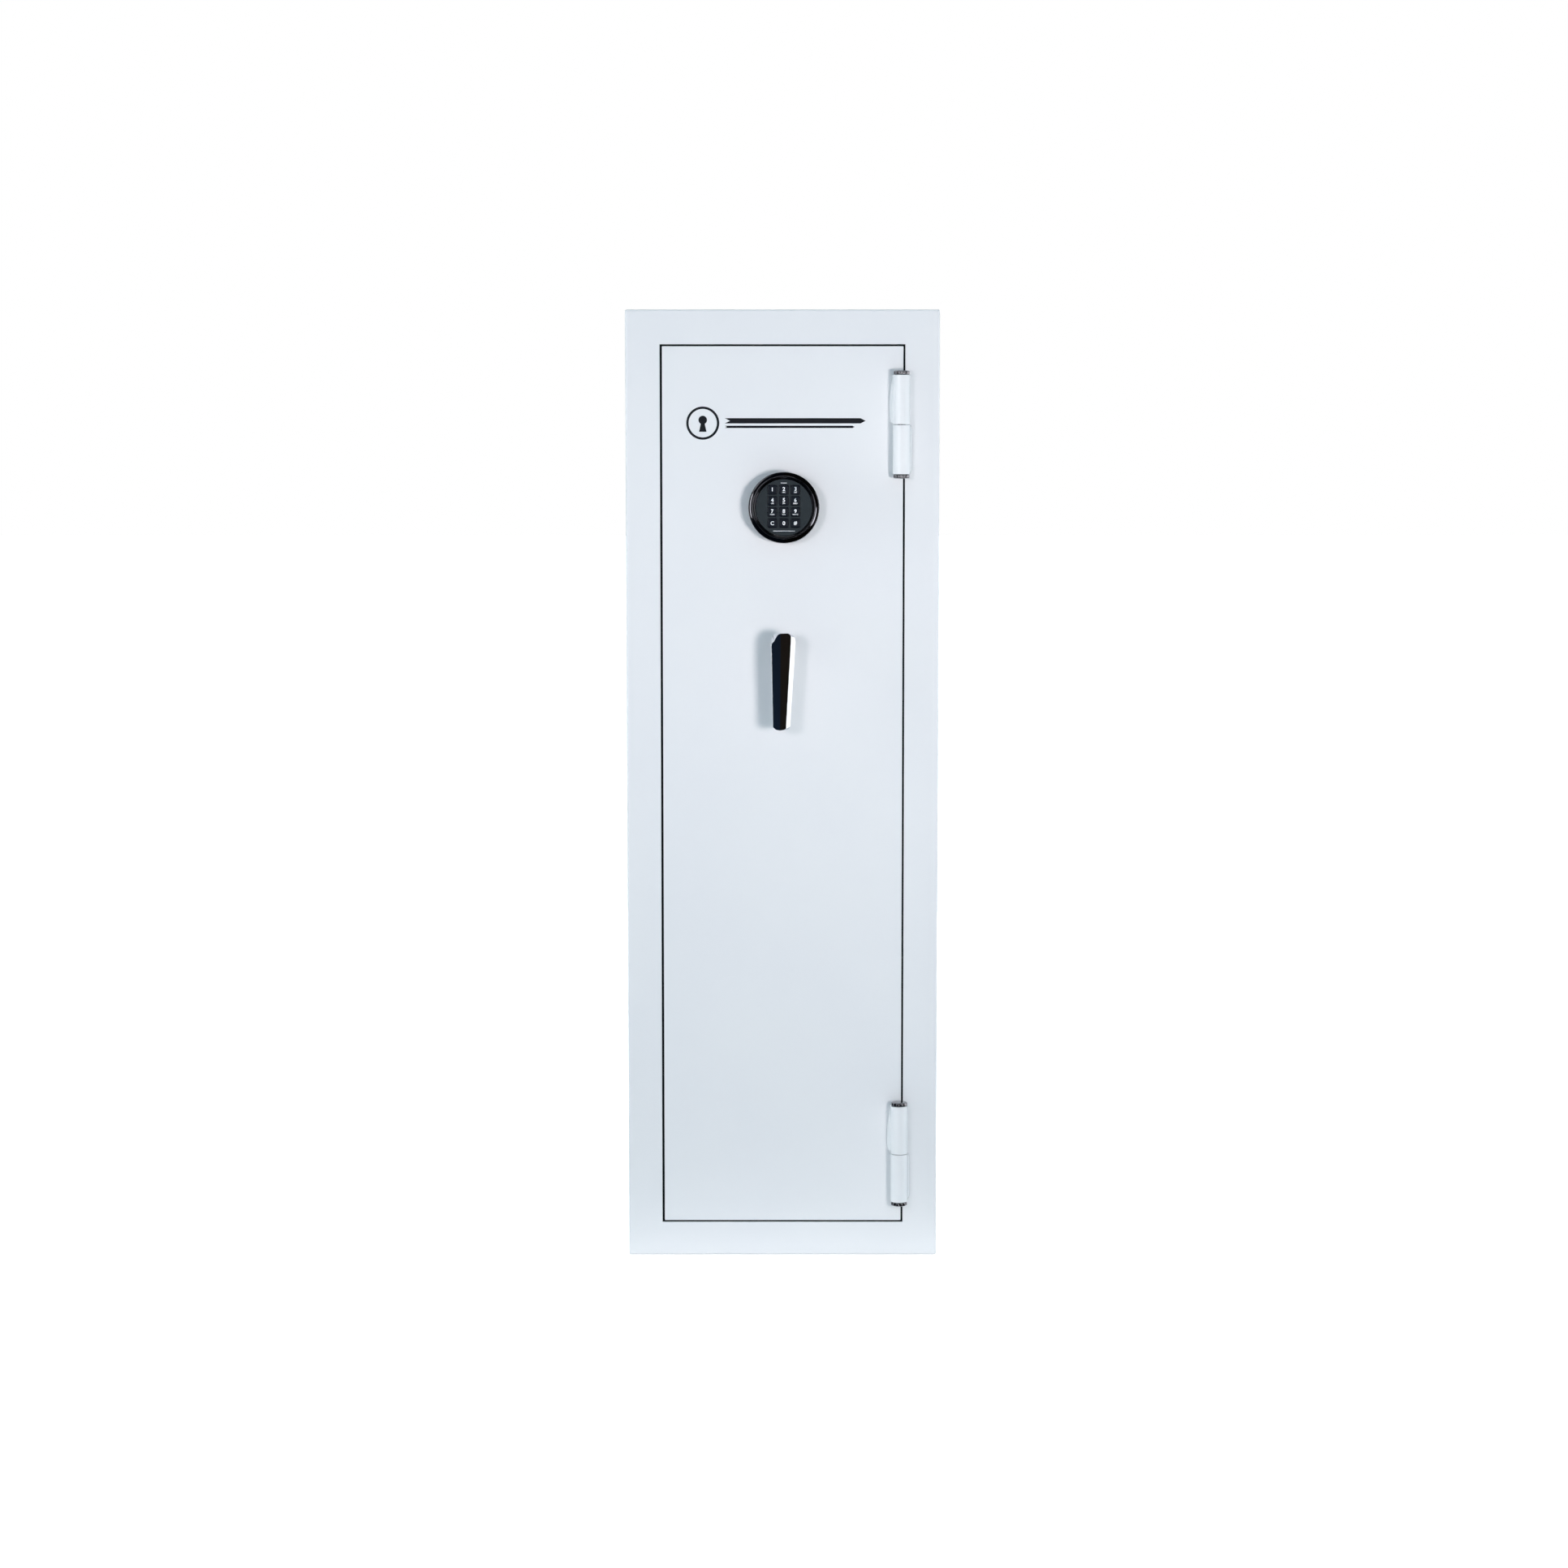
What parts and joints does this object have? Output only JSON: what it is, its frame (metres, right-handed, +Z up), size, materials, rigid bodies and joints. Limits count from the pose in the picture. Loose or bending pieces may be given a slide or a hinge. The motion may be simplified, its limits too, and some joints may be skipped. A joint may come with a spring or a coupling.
{
  "type": "gun safe",
  "caption": "Narrow upright gun safe: wide folded frame, flush door on external barrel hinges, round keypad lock, hanging lever handle, sliding bolts, lined inside with shelf and barrel rack.",
  "frame": {"origin": "centre of the cabinet's base, on the floor", "axes": "+Z up, -Y out of the door towards the user, +X to the user's right (hinge side)"},
  "size_m": [0.457, 0.498, 1.397],
  "materials": {
    "powder_coat": "satin bluish-white powder coat, fine smooth grain",
    "fireboard": "matt paper-faced gypsum",
    "felt": "short grey needled felt",
    "carpet": "looped dark grey carpet",
    "steel": "zinc-plated, lightly brushed",
    "chrome": "mirror polished",
    "black_chrome": "glossy black chrome",
    "keypad_plastic": "fine matt dark grey",
    "key_rubber": "satin blue-black with white numerals",
    "zinc_casting": "as-cast, satin",
    "battery_case": "plain dark wrapper",
    "cable_jacket": "smooth black jacket"
  },
  "bodies": {
    "cabinet": {"frame_left_member": "powder_coat", "frame_right_member": "powder_coat", "frame_top_member": "powder_coat", "frame_bottom_member": "powder_coat", "side_panel_left": "powder_coat", "side_panel_right": "powder_coat", "back_panel": "powder_coat", "top_panel": "powder_coat", "floor_panel": "powder_coat", "shelf_rail_left": "powder_coat", "shelf_rail_right": "powder_coat", "upper_hinge_frame_knuckle": "powder_coat", "lower_hinge_frame_knuckle": "powder_coat", "body_fireboard": "fireboard", "liner_left": "felt", "liner_right": "felt", "liner_back": "felt", "liner_ceiling": "felt", "shelf": "felt", "barrel_rack": "felt", "floor_carpet": "carpet", "upper_hinge_pin": "chrome", "lower_hinge_pin": "chrome"},
    "door": {"door_plate": "powder_coat", "door_pan": "powder_coat", "door_fireboard": "fireboard", "hard_plate": "steel", "door_trim_panel": "felt", "dead_bar": "steel", "lock_case": "zinc_casting", "bolt_guide_rail": "steel", "upper_hinge_door_knuckle": "powder_coat", "lower_hinge_door_knuckle": "powder_coat", "upper_hinge_top_cap": "chrome", "lower_hinge_top_cap": "chrome", "keypad_bezel": "black_chrome", "keypad_disc": "keypad_plastic", "keypad_battery": "battery_case", "keypad_cable": "cable_jacket", "handle_bushing": "chrome"},
    "handle": {"handle_lever": "chrome", "handle_spindle": "steel", "crank_arm": "steel"},
    "boltwork": {"bolt_carriage": "steel", "locking_bolt_upper": "chrome", "locking_bolt_middle": "chrome", "locking_bolt_lower": "chrome"},
    "lock_bolt": {"lock_bolt": "steel"},
    "key_1": {"key_1": "key_rubber"},
    "key_2": {"key_2": "key_rubber"},
    "key_3": {"key_3": "key_rubber"},
    "key_4": {"key_4": "key_rubber"},
    "key_5": {"key_5": "key_rubber"},
    "key_6": {"key_6": "key_rubber"},
    "key_7": {"key_7": "key_rubber"},
    "key_8": {"key_8": "key_rubber"},
    "key_9": {"key_9": "key_rubber"},
    "key_clear": {"key_clear": "key_rubber"},
    "key_0": {"key_0": "key_rubber"},
    "key_enter": {"key_enter": "key_rubber"}
  },
  "joints": [
    {"name": "door_swing", "type": "hinge", "parent": "cabinet", "child": "door", "pos_m": [0.1727, -0.2355, 0.7], "axis": [0, 0, 1], "range_deg": [0, 175]},
    {"name": "handle_turn", "type": "hinge", "parent": "door", "child": "handle", "pos_m": [0.002, -0.2225, 0.913], "axis": [0, 1, 0], "range_deg": [0, 90]},
    {"name": "bolt_slide", "type": "slide", "parent": "door", "child": "boltwork", "axis": [-1, 0, 0], "range_m": [0, 0.0283]},
    {"name": "lock_bolt_slide", "type": "slide", "parent": "door", "child": "lock_bolt", "axis": [0, 0, -1], "range_m": [0, 0.00901]},
    {"name": "key_1_press", "type": "slide", "parent": "door", "child": "key_1", "axis": [0, 1, 0], "range_m": [0, 0.001], "stiffness_N_per_m": 800},
    {"name": "key_2_press", "type": "slide", "parent": "door", "child": "key_2", "axis": [0, 1, 0], "range_m": [0, 0.001], "stiffness_N_per_m": 800},
    {"name": "key_3_press", "type": "slide", "parent": "door", "child": "key_3", "axis": [0, 1, 0], "range_m": [0, 0.001], "stiffness_N_per_m": 800},
    {"name": "key_4_press", "type": "slide", "parent": "door", "child": "key_4", "axis": [0, 1, 0], "range_m": [0, 0.001], "stiffness_N_per_m": 800},
    {"name": "key_5_press", "type": "slide", "parent": "door", "child": "key_5", "axis": [0, 1, 0], "range_m": [0, 0.001], "stiffness_N_per_m": 800},
    {"name": "key_6_press", "type": "slide", "parent": "door", "child": "key_6", "axis": [0, 1, 0], "range_m": [0, 0.001], "stiffness_N_per_m": 800},
    {"name": "key_7_press", "type": "slide", "parent": "door", "child": "key_7", "axis": [0, 1, 0], "range_m": [0, 0.001], "stiffness_N_per_m": 800},
    {"name": "key_8_press", "type": "slide", "parent": "door", "child": "key_8", "axis": [0, 1, 0], "range_m": [0, 0.001], "stiffness_N_per_m": 800},
    {"name": "key_9_press", "type": "slide", "parent": "door", "child": "key_9", "axis": [0, 1, 0], "range_m": [0, 0.001], "stiffness_N_per_m": 800},
    {"name": "key_clear_press", "type": "slide", "parent": "door", "child": "key_clear", "axis": [0, 1, 0], "range_m": [0, 0.001], "stiffness_N_per_m": 800},
    {"name": "key_0_press", "type": "slide", "parent": "door", "child": "key_0", "axis": [0, 1, 0], "range_m": [0, 0.001], "stiffness_N_per_m": 800},
    {"name": "key_enter_press", "type": "slide", "parent": "door", "child": "key_enter", "axis": [0, 1, 0], "range_m": [0, 0.001], "stiffness_N_per_m": 800}
  ],
  "couplings": [
    {"joint": "bolt_slide", "follows": "handle_turn", "m_per_rad": 0.018},
    {"joint": "lock_bolt_slide", "follows": "handle_turn", "m_per_rad": 0.00573}
  ]
}
